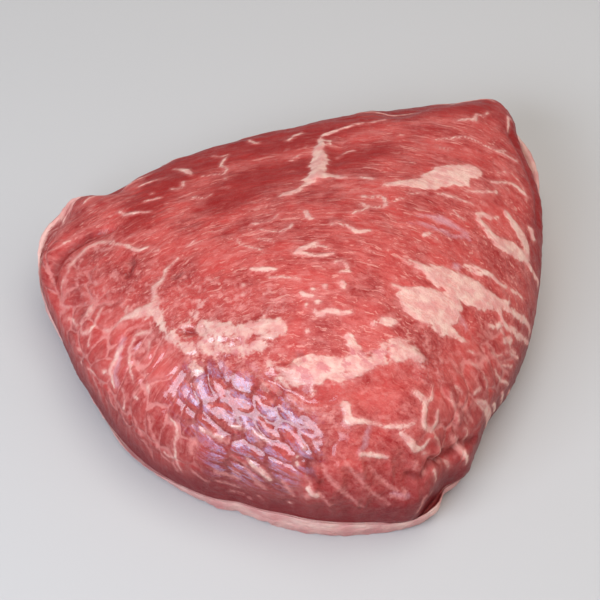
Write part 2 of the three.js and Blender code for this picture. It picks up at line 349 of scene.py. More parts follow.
# Each stroke is a line of stops over the skin: bearing, share, half width in mm.
fatStrokes = {
    "leftLobe": [
        [(160, .47, .3), (160, .52, .4), (160.5, .555, .5), (162.5, .585, .7), (164.5, .61, .7), (167, .65, .6),
         (169, .68, .5), (173, .8, .4)],
        [(161, .48, .4), (161.5, .45, .5), (162.5, .42, .6), (164, .4, .8), (165, .39, .9), (164.5, .37, .8),
         (163, .355, .4)], [(166, .335, .7)],
        [(171, .29, .4), (174, .315, .4), (176.5, .335, .6), (179, .345, .5), (181, .36, .7), (183, .385, .9),
         (186, .395, .9), (188, .4, 1)],
        [(190.5, .41, 1.6), (191, .44, 1.9), (190.3, .465, 1.9), (189.5, .495, 1.4), (189.5, .52, .9),
         (190, .555, .9), (190, .59, .8), (189, .61, .6)], [(186.5, .49, .6), (188, .505, .6)],
        [(183, .58, .7), (185, .62, .8), (186.5, .66, .9), (187, .685, 1.1), (185.5, .74, .8), (183, .73, .8),
         (181.5, .67, 1), (180.5, .635, 1.3)], [(188.5, .69, .7), (190, .73, .6)],
        [(178.5, .84, .7), (180, .8, .7), (182, .77, .6), (183, .72, .6)], [(174, .86, .4), (176, .8, .4)],
        [(163.5, .84, .35), (163, .77, .35), (162, .71, .35), (160.5, .67, .6), (160, .65, .35)],
        [(149, .505, .6), (149.5, .48, .7), (149, .455, .8), (148, .43, .6), (147, .41, .5)],
        [(143.5, .465, .4), (141, .45, .4), (140, .44, .4)],
    ],
    "leftTop": [
        [(127.5, .575, .4), (126.5, .53, .9), (126.5, .505, 1.2), (127, .475, .5)],
        [(117, .545, .4), (115.5, .52, .4), (113.5, .515, .3)],
        [(114.5, .5, .4), (117, .475, .5), (117.5, .455, .5), (117, .435, .4), (119, .41, .4)],
        [(119, .41, .4), (122, .425, .35), (125.5, .44, .3)], [(120.5, .385, .6)], [(139.5, .485, .5)],
        [(141.5, .4, .4)], [(151, .26, .4)], [(106, .59, .6), (105.5, .55, .7), (104, .54, .4)],
        [(131, .46, .5), (132, .44, .5)], [(135, .455, .5), (133.5, .435, .5)],
        [(138, .595, .35), (134, .56, .35), (132, .54, .35)], [(135, .375, .4), (133.5, .35, .4), (130, .345, .4)],
        [(125, .35, .35), (123, .34, .35)], [(136.5, .165, .7), (129, .15, .5), (115, .16, .3)],
        [(140, .135, .4), (137, .115, .4), (124, .1, .6), (112, .11, .4)],
        [(157, .155, .45), (161, .15, .45), (165, .13, .45), (170, .105, .45)], [(152, .115, .4), (150, .08, .4)],
        [(160.5, .25, .4), (163, .26, .4)], [(194, .155, .7), (200, .13, 1), (207, .105, .6)],
        [(214, .135, .4), (222, .12, .4), (233, .11, .4), (242, .105, .4), (252, .11, .3)], [(206, .2, .6)],
        [(213, .215, .7)],
    ],
    "crown": [
        [(176, .035, .7), (160, .025, 1), (104, .025, .6), (74, .03, .4)],
        [(177, .03, .5), (190, .015, .5), (285, .01, .4), (354, .05, .4)], [(90, .018, .35), (25, .035, .35)],
        [(66, .075, .3), (57, .08, .3), (50, .085, .4), (45, .09, .6), (37, .1, .9), (32, .12, .7), (30, .135, .3)],
        [(61, .165, .5), (55.5, .175, .5), (51, .19, .5), (46.5, .185, .5), (45, .18, .5), (48, .16, .5)],
        [(58, .145, .4), (53, .15, .4), (51, .15, .4), (52, .14, .4), (55, .12, .4)],
        [(95.5, .14, .7), (93.5, .115, .8), (89.5, .11, .5)], [(306, .13, 1.3)], [(285, .12, .8)],
        [(257, .15, .6), (263, .155, .8), (268, .15, .4)], [(270, .13, .6)],
        [(328, .07, .4), (338, .085, .5), (333, .105, .5), (327, .12, .6)], [(315, .1, .3), (325, .12, .4)],
        [(272, .19, .5), (276, .2, .7), (281, .19, .7), (287, .19, .9), (292, .195, .6), (299, .2, .4)],
        [(274, .165, .8)], [(264.5, .18, .5)], [(267, .245, .6)],
    ],
    "backSeam": [
        [(72, .505, .35), (78.5, .505, .5), (81.5, .49, .7), (84.5, .485, .8), (86.2, .475, .9), (87, .455, 1.1),
         (87, .43, 1.4), (87.5, .4, 2.1), (87.2, .365, 2.9), (87, .335, 3.2), (87, .305, 3.4), (88, .285, 3)],
        [(93, .265, 1.1), (91.5, .265, 1.8), (88, .27, 2.4), (84.5, .27, 1.8), (80.5, .265, 1.2), (76.5, .25, .8),
         (73.5, .25, .5)],
        [(106.5, .223, .8), (104.5, .225, 1.4), (101, .225, 1.5), (98, .23, 1.1), (94.5, .242, .9), (90, .25, 1)],
        [(84.7, .44, .5), (84.3, .42, .6)], [(97.5, .44, .6)], [(68, .235, .5), (64, .225, .5)],
        [(59.5, .295, .3), (56, .31, .4)], [(81, .36, .4), (77, .37, .3)], [(97, .39, .4), (94.5, .4, .4)],
        [(96.3, .505, .8), (94.5, .52, .7), (92.5, .535, .5)], [(45, .21, .6), (43, .225, .6)],
    ],
    "backRight": [
        [(57, .495, .4), (55.5, .525, .9), (54.5, .54, 1), (55, .57, .7), (54, .59, .4), (54, .62, .3)],
        [(57, .41, .4), (54.5, .44, .5), (52, .475, .4), (48.5, .505, .4)], [(54.5, .39, .4), (51.5, .405, .4)],
        [(55, .395, .4), (52, .42, .4)],
        [(47.5, .51, .4), (45, .54, .5), (43.5, .57, .6), (42, .6, .6), (41.5, .63, .5)],
        [(45, .55, .5), (44.5, .585, .5)],
        [(36.5, .395, .4), (35.7, .42, .5), (35, .445, .5), (34.5, .47, .6), (34.2, .495, .8)],
        [(37.3, .48, .5), (37, .505, .6), (36.5, .54, .5), (35.5, .575, .8), (34.3, .61, .9), (33, .65, .6)],
        [(39.5, .51, .5), (39.2, .54, .4)],
        [(39, .31, .4), (37, .335, .9), (35.5, .355, .5), (33.5, .38, .5), (31.5, .41, .4)],
        [(45, .24, .4), (42, .28, .4)], [(30, .35, .35), (27.5, .365, .35), (25.5, .385, .35)],
        [(39, .57, .3), (34.5, .63, .3)], [(18.5, .275, .8), (20, .29, .8)], [(17, .31, .6)],
    ],
    "backPatch": [
        [(56.5, .205, .4), (54, .225, 1.3), (51, .245, 1.9), (48, .265, 2.4), (46, .285, 3.6), (45, .305, 4.3),
         (45, .325, 5.3), (44.5, .35, 6.2), (43.8, .37, 6), (43.3, .395, 4.7), (42.3, .42, 3.7), (41, .44, 1.9),
         (40.3, .45, .8)], [(40.5, .37, 2.2), (39.2, .39, 1.7)],
    ],
    # the far side is not seen; it is marbled like the near one
    "farSide": [
        [(67, .6, .3), (71, .625, .6), (77, .63, .8), (80, .65, .4)], [(108, .7, .5), (109.5, .73, .3)],
        [(97, .655, .3), (101, .68, .5), (108, .685, .4)], [(76, .72, .3), (77.5, .75, .6), (76.5, .78, .3)],
        [(56, .76, .3), (60, .79, .8), (64, .785, .5), (66, .8, .3)], [(104, .78, .6)], [(72, .885, .6)],
        [(122, .7, .3), (125, .735, .6), (127, .78, .7), (126, .82, .4)], [(93, .93, .5)], [(83, .68, .4)],
        [(86, .79, .3), (89, .82, .5), (95, .825, .7), (97, .85, .3)],
        [(142, .69, .3), (144, .72, .6), (148, .73, .3)], [(49, .68, .4), (51.5, .72, .8), (51, .75, .4)],
        [(113, .85, .3), (116, .87, .6), (122, .865, .3)], [(133, .66, .3), (135.5, .69, .6), (139, .7, .3)],
        [(42, .85, .4), (45, .87, .8), (48, .9, .4)],
    ],
    "rightArms": [
        [(27, .43, .9), (27.2, .455, 1), (26.5, .48, .6), (26.2, .495, .3)],
        [(25.5, .428, 1.1), (23, .45, 1.5), (21, .468, 1.8), (19.7, .487, 2), (18.3, .508, 2.6), (17.5, .54, 3.2),
         (17, .575, 3.4), (16.8, .605, 3), (16, .64, 2.2), (15, .68, 1.6), (14, .74, 1.2), (13.5, .85, 1)],
        [(28, .53, 1.1), (26, .557, 1.8), (24, .585, 2.5), (22.2, .61, 2.7), (20.8, .63, 2.6), (19, .65, 2.5),
         (17, .665, 2.1)], [(24.5, .69, 1.4), (23, .71, 1.2)],
        [(5.5, .4, .6), (6, .43, .8), (5.5, .46, .8), (5, .495, .7), (3.5, .53, .6), (3.5, .575, .5), (3.5, .62, .5),
         (4, .68, .4)], [(4, .42, .5), (4, .45, .6), (4.5, .48, .5)],
    ],
    "rightPatches": [
        [(359, .24, .5), (358.5, .275, 1.2), (357.5, .305, 2.2), (356.5, .33, 3.7), (355.5, .355, 4.8),
         (355, .4, 5.4), (355, .45, 6.2), (355, .48, 5.4), (355.5, .51, 4), (356.2, .55, 2.2)],
        [(336, .235, .5), (337.5, .26, .9), (338, .28, 1.6), (337.5, .295, 2.5)],
        [(335.5, .295, 4.2), (336.5, .32, 6.2), (337.5, .35, 7.6), (338.5, .38, 7.6), (340, .405, 6),
         (341, .43, 3.4)],
        [(334, .41, 4), (333.5, .43, 2.9), (334.5, .455, 1.8), (335.5, .48, 1.1), (335.5, .51, .7)],
        [(349, .39, 1.8), (347.5, .41, 2.4), (346, .435, 1.4)],
        [(356.2, .55, 1.7), (357.3, .585, 1.2), (357, .625, 1.1), (358, .7, 1.1), (359.5, .79, .9), (359.5, .88, .7)],
        [(357.5, .58, 1), (359, .595, .9)],
        [(355.5, .565, 1.3), (353.5, .59, 1), (352.3, .62, 1.1), (352.5, .67, .9), (353.5, .74, 1.2), (355, .82, 1),
         (357, .92, .7)], [(351.5, .62, .8), (349.5, .6, .8), (348, .58, .6), (347, .565, .4)],
    ],
    "centreLobe": [
        [(251.3, .355, .7), (256, .365, 1.1), (261.3, .37, 1.9), (265.5, .36, 3.6), (270, .345, 5), (275, .335, 4.3),
         (279.5, .335, 4.5), (285, .335, 4.1), (290.5, .33, 3.8), (296, .327, 3.4), (300, .325, 2.7),
         (304.5, .325, 3.4), (309.3, .34, 4.6), (312, .355, 4), (313.8, .38, 2.5), (315, .405, .9)],
        [(264, .335, 3), (268, .325, 3.4)], [(269.5, .375, 1.8), (270, .39, .9)], [(280, .36, 1.6), (281, .37, .8)],
        [(290.5, .262, 1.4), (291, .28, 1.6), (291, .3, 2)],
        [(308.5, .25, .5), (311.5, .265, .8), (315, .285, 1.2), (316.5, .29, 1.5)], [(305.5, .255, 1)],
    ],
    "leftPatch": [
        [(213, .34, 2.6), (215, .345, 3.8), (219, .34, 4.4), (224, .33, 4.4), (229, .315, 4.4), (233, .3, 4.4),
         (238.5, .28, 4.6), (243.5, .27, 4.2), (248, .26, 3), (253, .265, 1.2)],
        [(219, .4, 1.8), (219, .375, 2.8), (225, .365, 2.4), (232.5, .345, 2.6), (237, .325, 2.4), (243, .315, 1.7),
         (247.5, .31, 1)],
        [(192.5, .43, 2.4), (194, .42, 3), (196.5, .42, 2.2), (198.5, .425, 1.7), (203, .425, 1.5), (206.8, .42, 1.8),
         (210.5, .41, 1.6), (215, .405, 1.8), (219, .4, 1.8)],
        [(206, .385, .9), (207.5, .36, 1), (206.5, .34, .9), (204, .32, .8), (201.5, .3, .5)],
        [(222.5, .45, 1.6), (226, .435, 1.5)], [(251.5, .385, .5), (256, .39, .8), (259.5, .4, .4)],
    ],
    "bundles": [
        [(197.7, .585, 1.2), (198.5, .62, 1.3), (199.5, .665, 1.2), (200.5, .7, 1.1), (202.5, .72, 1),
         (204.5, .73, .6)],
        [(199.3, .465, .9), (198.3, .49, .9), (198, .515, .8), (199.3, .545, .8), (201, .565, .8), (203.5, .585, .8),
         (207, .6, .7), (209, .62, .4)], [(202, .485, .5), (204, .495, .4), (206.5, .51, .4)],
        [(205, .555, .35), (207, .565, .35)], [(209.5, .555, .35), (212, .57, .35)],
        [(212.5, .565, .5), (213.5, .59, 1.1), (215, .6, .7)], [(211.5, .67, .7), (213, .66, .8)],
        [(198.5, .745, .8), (199.5, .72, .8)], [(207, .69, .6), (209, .72, .5), (210, .76, .6), (210, .8, .6)],
        [(224, .63, .4), (225.5, .635, .7), (227.5, .655, .9), (229, .685, .9), (229, .73, .8), (229.8, .78, .8),
         (230.3, .85, .8), (231, .92, .7)], [(187.5, .84, .6), (190.5, .8, .6)], [(190, .91, .9)],
        [(193, .87, .6), (196, .84, .6)], [(226.5, .83, .7), (229, .85, .7)],
        [(235.5, .6, .8), (238, .6, .7), (242, .6, .6)],
    ],
    "front": [
        [(250.7, .66, .4), (253.5, .685, .8), (256.5, .7, .9), (258.5, .735, .6)], [(244.5, .55, .6), (249, .55, .5)],
        [(251, .55, .5), (254, .56, .5), (256, .565, .4)], [(268.8, .72, .9), (270, .75, 1), (271, .77, .8)],
        [(283, .56, .7), (286.5, .575, .8), (290, .595, .8)],
        [(281, .42, 1.6), (281.5, .455, 1.8), (284, .46, 1), (286.5, .465, .9), (289, .475, .7), (292.5, .485, .6),
         (295, .49, .8), (298, .5, .7), (300.5, .5, .5)], [(267.5, .545, .7)], [(265.5, .585, .6)],
        [(265.5, .61, .6)], [(264, .91, .5)],
        [(296, .515, .8), (297.5, .55, 1.3), (299, .59, 1.5), (301, .61, 1.2), (303, .595, .9)],
        [(300.8, .64, .8), (302, .66, .5)],
    ],
    "frontRight": [
        [(305, .435, .9), (306.5, .46, 1.3), (307, .48, 1.2), (304.5, .5, 1.2), (303, .525, 1.2), (304, .55, 1.3),
         (306, .575, 1.5), (307.5, .57, 1.2), (308.5, .555, 1), (309.5, .54, .6)],
        [(307.5, .48, .9), (310, .49, .7), (311, .48, .5)],
        [(305.5, .6, .9), (306, .645, .8), (306, .69, .7), (305, .73, .6)],
        [(303, .79, .8), (303, .83, .8), (303, .88, .6)], [(308.5, .87, .6), (309, .92, .6)],
        [(316.5, .53, .5), (315.5, .57, .6), (315.5, .61, .6), (315.5, .65, .5)],
        [(317, .745, .5), (317.5, .79, .6), (316, .825, .3)],
        [(313, .725, .5), (313.5, .79, .7), (314, .85, .8), (314.5, .93, .9)],
        [(325.5, .71, .9), (327, .76, 1.7), (328.5, .82, 2.2), (329.5, .88, 2.4), (331, .95, 2.4)],
        [(325.5, .665, .9), (327.5, .675, 1.2), (329, .69, .9)],
        [(332.5, .66, .6), (332.5, .7, .8), (331.8, .725, .5)],
        [(338, .725, .5), (338, .765, .7), (339.3, .83, .7), (341.5, .92, .6)],
        [(341.5, .745, .5), (343.5, .79, .7), (345.5, .84, .6)],
        [(340.7, .64, .6), (341.5, .68, .8), (343.5, .7, .6)], [(346, .72, .7), (348, .79, .9), (349.5, .85, .7)],
        [(347.8, .745, .7), (349.5, .81, .7)], [(347.5, .67, 1.2), (349.5, .705, 1.7), (348.3, .735, 1.2)],
        [(350, .625, .6), (349, .655, .6)], [(343, .95, 1.1)], [(333.5, .91, .9), (335, .95, .9)],
        [(338.5, .92, .6), (339, .95, .6)], [(320.5, .55, .6), (321, .57, .7), (320.7, .59, .5)],
        [(333.5, .54, .7), (334.5, .555, .6)], [(332, .585, .5), (333.5, .61, .6)], [(312.5, .52, .5)],
        [(312.5, .47, .4)],
    ],
}

# these groups are broad patches with ragged ends, the others thin seams
patchGroups = ("backSeam", "backPatch", "rightArms", "rightPatches", "centreLobe", "leftPatch")

scraps = {
    "faint": [
        [(250, .69, .5), (252.5, .73, .8), (255, .77, .9), (257, .8, .5)], [(250.5, .55, .5), (254.5, .585, .6)],
        [(242.5, .78, .7), (246.5, .79, .9), (249, .795, .6)], [(247.5, .75, .5), (249, .76, .4)],
        [(246.5, .93, .5), (249.5, .93, .4)], [(235.5, .87, .6), (237.5, .88, .5), (239.5, .9, .5)], [(252, .94, .6)],
        [(255, .92, .5), (256, .93, .4)], [(234, .66, .9), (233.5, .69, 1.2), (234.5, .73, .8)],
        [(238.5, .6, .8), (244, .61, .8)], [(268.5, .78, 1.2)],
        [(272.5, .6, .2), (275.5, .68, .6), (279, .78, .5), (283, .88, .2)],
        [(279, .58, .2), (282.5, .68, .6), (286.5, .8, .4), (289, .88, .2)],
        [(285, .62, .2), (289, .72, .5), (292, .8, .3)], [(268, .66, .2), (270.5, .74, .4), (274.5, .83, .3)],
        [(298, .66, .7), (297.5, .685, .8)], [(293.5, .815, 1.1)], [(290, .825, .6), (293, .85, .6)],
        [(298.5, .92, .7), (296.5, .945, .7)], [(301, .93, .6)], [(300.5, .755, 1.1)],
        [(312, .715, .9), (312.5, .77, 1.2), (313.5, .84, 1.3), (313.5, .9, .9)], [(314.8, .62, .5), (314, .68, .5)],
        [(262, .72, .6), (263.5, .77, .7), (264.5, .82, .5)], [(243, .86, .5), (246, .87, .6), (249, .875, .4)],
        [(203, .8, .4), (205, .86, .6), (207, .91, .4)], [(209, .84, .4), (212, .9, .5)],
        [(196, .88, .5), (199, .93, .4)], [(226, .88, .5), (230, .93, .5)], [(218, .91, .5), (221, .94, .4)],
        [(222, .78, .6), (224, .84, .7), (226, .89, .5)], [(215, .78, .6), (217, .85, .7)],
        [(219, .7, .6), (220.5, .75, .6)], [(321, .62, .6), (320, .7, .7), (321, .78, .6)],
        [(330, .6, .6), (329, .66, .7)], [(340, .66, .6), (341, .74, .7), (343, .84, .6)],
        [(335, .56, .5), (337, .6, .7), (338, .66, .5)], [(326, .5, .7), (325, .55, .6)],
    ],
    # lean that shows through the fat
    "threads": [
        [(296, .312, 1.1)], [(281, .345, .2), (285, .342, .35), (289, .338, .2)],
        [(224, .347, .2), (227, .337, .5), (230, .325, .5), (233, .322, .2)], [(231, .345, .7), (231, .355, .5)],
        [(236, .31, .2), (240, .298, .5), (246, .298, .5), (249, .307, .3)], [(222, .362, .4), (224, .37, .3)],
        [(302, .34, .3), (306, .315, .35), (309, .3, .25)],
    ],
    # silver skin, partly a painted sheen
    "silverSkinAndSheen": [
        [(31.5, .255, .4), (30, .28, .5), (28, .3, 1.2), (27, .32, 1.8), (24, .345, 1.5), (22, .37, 1), (20, .39, .8),
         (17.5, .405, .5)],
        [(27.5, .235, .5), (25.5, .27, .8), (23, .3, .8), (20.5, .33, .8), (18.5, .355, .6), (19, .395, .6)],
        [(195.5, .565, 1.4), (197, .585, 1.2), (199, .615, 1.3), (201, .645, 1.2), (202, .685, 1.2),
         (204.5, .705, 1)], [(287, .485, .7), (285.5, .515, .9), (285, .53, 1), (283, .55, .8)],
        [(290.5, .81, .7), (294, .85, .7)], [(3.5, .38, 1.8)], [(344, .425, .8), (342, .46, .6), (340, .49, .6)],
    ],
    # painted shade: deep red strokes along creases and in hollows
    "hollowShade": [
        [(168, .41, .8), (171, .405, .8), (174.5, .435, .5)], [(158, .585, 1.5)],
        [(155, .5, .3), (157, .56, .9), (160, .61, 1.1), (163, .66, 1), (166, .72, .8), (170, .8, .4)],
        [(181, .325, .6), (180, .31, .4)], [(209, .385, .6), (212, .37, .9), (215, .355, .6)], [(298, .318, 1.5)],
        [(264, .315, 1.6), (262, .335, 1.2)], [(295.5, .73, .8), (299, .76, 1.2), (302, .735, .8)],
        [(303, .72, .8), (306.5, .775, 1.2), (310, .83, 1.2), (314.5, .81, 1), (319.5, .9, .8)],
        [(268, .59, 1), (269, .64, 1.2), (272, .68, 1)],
    ],
}

reliefLines = [
    # creases and hollows, then ridges: height in mm, then stops with the spread in mm
    (-2.2, [(155, .5, 1), (157, .56, 1.4), (160, .61, 1.6), (163, .66, 1.8), (167, .73, 1.8), (172, .82, 2)]),
    (-1.2, [(295.5, .73, 1.6), (299, .76, 2), (302, .735, 1.6)]),
    (-1.2, [(303, .72, 1.4), (306.5, .775, 1.6), (310, .83, 1.6), (314.5, .81, 1.4), (319.5, .9, 1.4)]),
    (1.2, [(281, .4, 3), (284, .46, 3), (283, .51, 3)]),
    (1, [(278, .59, 1), (281, .605, 1.2), (283, .63, 1.2), (284.5, .66, 1.2), (285, .69, 1.2)]),
    (1.1, [(305, .6, 1.4), (306, .66, 1.4), (305, .73, 1.4)]),
    (1, [(316.5, .53, 1.2), (315.5, .6, 1.4), (315.5, .66, 1.2)]),
    (-1.4, [(28, .78, 2), (40, .72, 2.2), (48, .7, 2)]), (-1, [(168, .41, 1.2), (174.5, .435, 1)]),
    (-1, [(209, .385, 1), (215, .355, 1.2)]), (.9, [(222, .33, 3), (235, .285, 3.4), (252, .24, 2.4)]),
    (1.6, [(258, .355, 2), (270, .345, 3), (284, .33, 3.2), (297, .33, 3), (309, .35, 3), (315, .4, 1.6)]),
    (-1.5, [(252, .4, 1.6), (262, .41, 1.8), (271, .42, 2), (284, .395, 2), (297, .385, 2), (308, .41, 1.8)]),
    (-1.4, [(262, .32, 1.8), (258, .335, 1.4)]), (1, [(86, .43, 1.4), (86.5, .34, 2), (88, .26, 1.6)]),
    (-.9, [(81, .45, 1.6), (81, .34, 1.6), (80, .27, 1.4)]),
]

# Each zone is a few broad strokes: bearing, share, half width in mm.
zones = {
    "bundle": [[(165, .82, 10), (178, .76, 14), (192, .7, 16), (205, .62, 16), (217, .6, 14), (228, .74, 12)],
               [(186, .86, 8), (204, .85, 9), (222, .84, 9)],
               [(310, .7, 12), (322, .66, 12), (335, .68, 12), (345, .72, 8)]],
    "wrinkle": [[(229, .5, 8), (240, .5, 13), (250, .52, 14), (260, .55, 12)], [(246, .68, 8), (258, .66, 8)]],
    "wet": [[(205, .5, 8), (225, .48, 12), (240, .48, 14), (255, .5, 14), (268, .5, 10)],
            [(222, .34, 8), (244, .34, 6)], [(248, .68, 8), (262, .66, 8)]],
    "plain": [[(262, .42, 8), (278, .46, 14), (295, .5, 16), (312, .48, 14), (326, .52, 12)],
              [(262, .62, 12), (285, .68, 16), (305, .72, 16)]],
    "folded": [[(286, .31, 4), (296, .3, 5), (308, .31, 5)], [(264, .345, 3), (278, .34, 4)],
               [(221, .37, 3), (234, .33, 3)]],
    "fold": [[(276, .66, 9), (285, .7, 12), (297, .76, 12)], [(270, .8, 8), (285, .86, 8)]],
    "red": [[(60, .66, 14), (80, .7, 22), (100, .68, 26), (118, .61, 17), (135, .5, 10), (150, .42, 6)],
            [(20, .84, 8), (35, .84, 9), (50, .8, 8)], [(70, .35, 6), (110, .34, 10), (128, .3, 10)]],
    "speckle": [[(178, .5, 10), (195, .34, 12), (212, .26, 10), (230, .22, 8)], [(228, .42, 8), (245, .38, 10)],
                [(163, .54, 7), (168, .6, 9), (176, .6, 8)], [(272, .44, 8), (262, .46, 8)],
                [(322, .4, 5), (318, .44, 6)], [(200, .42, 7), (215, .37, 9), (228, .34, 9), (242, .29, 7)]],
}


def squareOnDisc(cells):
    # the larger of the two steps is the share, the other one turns the bearing
    steps = np.linspace(-1, 1, cells + 1)
    a, b = np.meshgrid(steps, steps, indexing="ij")
    wide = np.abs(a) >= np.abs(b)
    share = np.where(wide, np.abs(a), np.abs(b))
    turn = np.where(wide, np.pi / 4 * b / np.where(a == 0, 1, a),
                    np.pi / 2 - np.pi / 4 * a / np.where(b == 0, 1, b))
    turn = turn + np.where(np.where(wide, a, b) < 0, np.pi, 0)
    return np.degrees(turn) % 360, share


def buildLean():
    # the skin on a square grid laid over the dome, pushed in and out along its normals, then rings in under it
    n = lean["cells"]
    bearing, share = squareOnDisc(n)
    base = skin(bearing, share)
    normal = gridNormals(base)
    normal *= np.sign(normal[n // 2, n // 2, 2])
    bearing, share, spots, normal = bearing.ravel(), share.ravel(), base.reshape(-1, 3), normal.reshape(-1, 3)
    # fibres of the top run along circles about a point in front; those of the sides run down them
    dx, dy = (spots[:, :2] - lean["fibreCentre"]).T
    top = np.stack([np.arctan2(dx, dy) * lean["fibreRadius"], np.hypot(dx, dy), spots[:, 2]], -1)
    side = np.stack([share, np.radians(bearing), 0 * share], -1) * lean["sideLength"]

    bend = np.stack([lumps(spots, 6, seed) + 0.5 * lumps(spots, 2.6, seed + 3) for seed in (21, 22, 23)], -1)
    bent = spots + lean["strokeBend"] * bend
    zone = {name: smoothStep(strokeField(spots, strokes, lean["zoneReach"]), *lean["zoneEdge"])
            for name, strokes in zones.items()}
    bundle = zone["bundle"]
    patches = [line for name in patchGroups for line in fatStrokes[name]]
    seams = [line for name, group in fatStrokes.items() if name not in patchGroups for line in group]
    patch = np.minimum(strokeField(bent, patches) + lean["patchMore"], -strokeField(bent, scraps["threads"], 2))
    seam = strokeField(bent, seams) + (lean["strokeMore"] - lean["bundleLess"] * bundle)
    seam = np.maximum(seam, strokeField(bent, fatStrokes["crown"]) + lean["crownMore"])
    hollowShade = strokeField(bent, scraps["hollowShade"])
    warp = lean["cellBend"] * lumps(spots, 9, 6)
    down, across = lean["cellSize"]
    cell = cellBorders((side[:, 0] + warp) / down, (side[:, 1] + warp) / across, 7)
    # the front's wrinkles are cells drawn out along a slant, the folds beside them run down to the apex
    slant = lean["wrinkleSlant"]
    slantU = side[:, 1] + slant * side[:, 0] + 0.6 * warp
    slantV = side[:, 0] - slant * side[:, 1] + 0.6 * lumps(spots, 8, 16)
    wrinkle = cellBorders(slantU / lean["wrinkleSize"][0], slantV / lean["wrinkleSize"][1], 15)

    topFibres = 0.6 * ridged(top, (26, 2.6, 5), 1) + 0.5 * lumps(top, (12, 1.3, 2.5), 8)
    rise = lean["fatRise"] * smoothStep(np.maximum(seam, patch), *lean["fatSlope"])
    rise = rise * (1 - lean["bundleFlat"] * bundle)
    rise += lean["fibreRise"] * (topFibres * (1 - bundle) + lumps(side, (14, 2, 3), 2) * bundle)
    rise += lean["lumpRise"] * (0.6 * lumps(spots, 11, 3) + 0.35 * lumps(spots, 5, 4) + 0.2 * lumps(spots, 2.4, 5))
    rise -= lean["darkDepth"] * smoothStep(hollowShade, *lean["darkSlope"])
    rise -= lean["cellDepth"] * bundle * (1 - smoothStep(cell, 0, 0.3))
    rise += lean["wrinkleRise"] * zone["wrinkle"] * (smoothStep(wrinkle, 0, 0.5) - 0.6)
    rise += lean["foldRise"] * zone["fold"] * ridged(side + warp[:, None] * 0.6, lean["foldSize"], 10)
    rise += ridges(spots, reliefLines)
    fade = 1 - smoothStep(share, form["overEnd"][0], 1)

    index = np.arange((n + 1) ** 2).reshape(n + 1, n + 1)
    faces = np.stack([index[:-1, :-1], index[1:, :-1], index[1:, 1:], index[:-1, 1:]], -1).reshape(-1, 4)
    # the rim of the square in order of bearing, then rings in along the seam
    rim = np.concatenate([index[:-1, 0], index[-1, :-1], index[:0:-1, -1], index[0, :0:-1]])
    outs = np.linspace(1, form["innermost"], lean["underRings"] + 1)[1:]
    under = [dishedSeam(bearing[rim], out) * stretch + shift for out in outs]
    rings = [rim] + [len(spots) + k * len(rim) + np.arange(len(rim)) for k in range(len(outs))]
    underFaces = [np.stack([r, q, np.roll(q, -1), np.roll(r, -1)], -1) for r, q in zip(rings[:-1], rings[1:])]
    allFaces = faces.tolist() + np.vstack(underFaces).tolist() + [rings[-1][::-1].tolist()]
    allSpots = np.vstack([spots + normal * (rise * fade)[:, None]] + under)
    print("lean", len(allSpots), "spots")

    looks = {"seamEdge": seam, "patchEdge": patch, "hollowShadeEdge": hollowShade, "silverSkinAndSheenEdge": strokeField(bent, scraps["silverSkinAndSheen"]),
             "faintEdge": strokeField(bent, scraps["faint"]), "cell": cell, "crease": wrinkle, "grain": top,
             "sideGrain": side, "slant": np.stack([slantU, slantV, 0 * slantU], -1)}
    looks.update({name: values for name, values in zone.items() if name != "fold"})
    # the rings under the lean bear no marks
    for name, values in looks.items():
        plain = -4 if name.endswith("Edge") else 1 if name == "cell" else 0
        tail = np.full((len(allSpots) - len(spots),) + values.shape[1:], plain, float)
        looks[name] = np.concatenate([values, tail])
    return makeMesh("Lean", allSpots, allFaces, looks)


leanPiece = buildLean()

fatCap = {
    "sides": 960,
    "seamRings": 8,
    "ledgeRings": 9,
    "sideRings": 40,
    "raggedness": 0.8,        # mm, in and out along the cut edge
    "lumpRise": 0.5,
    "underShares": (0.985, 0.95, 0.85, 0.65, 0.4, 0.12),  # where the rings of the flat underside lie
    # lips where the cut edge stands up past the lean: bearing, spread, height mm, width mm
    "lips": ((302, 3.4, 3.6, 1.0), (157, 6, 2.0, 1.6), (49, 7, 3.4, 4.4), (214, 8, 0.2, 0.8)),
    # where the inner part of the ledge still carries lean: bearing, spread, share
    "hollows": ((299, 7, 1.2), (156, 9, 0.64)),
    # nicks in the lower edge: bearing, spread, depth mm
    "nicks": ((247.5, 0.8, 2.2), (252.5, 1.2, 1.4), (256.5, 0.9, 1.6), (238, 1.0, 1.2), (272, 2.2, 0.7),
              (221, 1.5, 1.0), (315, 1.2, 1.2), (345, 2.0, 1.2), (20, 2.5, 1.4), (80, 3.0, 1.5),
              (118, 2.0, 1.4), (158, 1.6, 1.2), (190, 2.0, 1.0)),
}


